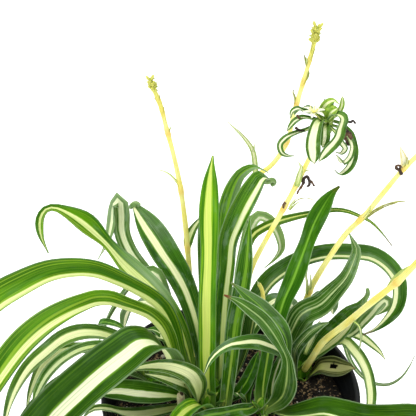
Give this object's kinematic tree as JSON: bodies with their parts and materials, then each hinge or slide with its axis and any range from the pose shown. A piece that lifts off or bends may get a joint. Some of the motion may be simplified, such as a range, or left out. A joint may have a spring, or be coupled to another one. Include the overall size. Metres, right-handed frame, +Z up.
{
  "type": "potted spider plant",
  "caption": "Potted spider plant: arching cream-striped strap leaves, yellow flower stalks and a hanging plantlet, in a round tapered black plastic nursery pot of soil.",
  "frame": {"origin": "centre of the pot's flat underside", "axes": "+Z up, -Y towards the front of the plant, +X to its right"},
  "size_m": [0.2918, 0.2263, 0.343],
  "materials": {
    "pot": "satin",
    "soil": "matte",
    "crown": "satin",
    "leaf": "satin",
    "dried": "matte",
    "stalk": "satin",
    "plantlet": "satin"
  },
  "bodies": {
    "root": {"pot": "pot", "soil": "soil", "crown_left": "crown", "crown_right": "crown", "crown_back_right": "crown", "crown_back_left": "crown", "stump_dried": "dried", "leaf_upright_front": "leaf", "leaf_upright_back": "leaf", "leaf_upright_right": "leaf", "leaf_short_centre": "leaf", "leaf_thin_centre": "leaf", "leaf_broad_left": "leaf", "leaf_back_left_hook": "leaf", "leaf_left_high": "leaf", "leaf_left_upper": "leaf", "leaf_left_lower": "leaf", "leaf_left_behind": "leaf", "leaf_front_left_big": "leaf", "leaf_low_left_one": "leaf", "leaf_low_left_two": "leaf", "leaf_low_left_three": "leaf", "leaf_dried_front": "dried", "leaf_front_short": "leaf", "leaf_arch_right": "leaf", "leaf_hook_back": "leaf", "leaf_long_right": "leaf", "leaf_back_tall": "leaf", "leaf_back_low_right": "leaf", "leaf_back_low_middle": "leaf", "leaf_back_low_left": "leaf", "leaf_front_low_left": "leaf", "leaf_front_low_middle": "leaf", "leaf_broad_right": "leaf", "leaf_low_centre": "leaf", "leaf_folded_front": "leaf", "leaf_folded_behind": "leaf", "leaf_arc_front": "leaf", "leaf_front_cross": "leaf", "leaf_front_right": "leaf", "leaf_front_low_right": "leaf", "leaf_striped_right": "leaf", "leaf_low_right": "leaf", "leaf_dark_right": "leaf", "leaf_curl_right": "leaf", "leaf_on_soil": "leaf", "leaf_hang_right": "leaf", "leaf_hang_thin": "leaf", "leaf_small_right": "leaf", "leaf_back_right_low": "leaf", "leaf_striped_left": "leaf", "leaf_fold_left": "leaf", "leaf_strap_left": "leaf", "stalk_left": "stalk", "stalk_tall": "stalk", "stalk_plantlet": "stalk", "stalk_right": "stalk", "stalk_front_right": "stalk", "stalk_stub": "stalk", "plantlet": "plantlet"}
  },
  "joints": []
}
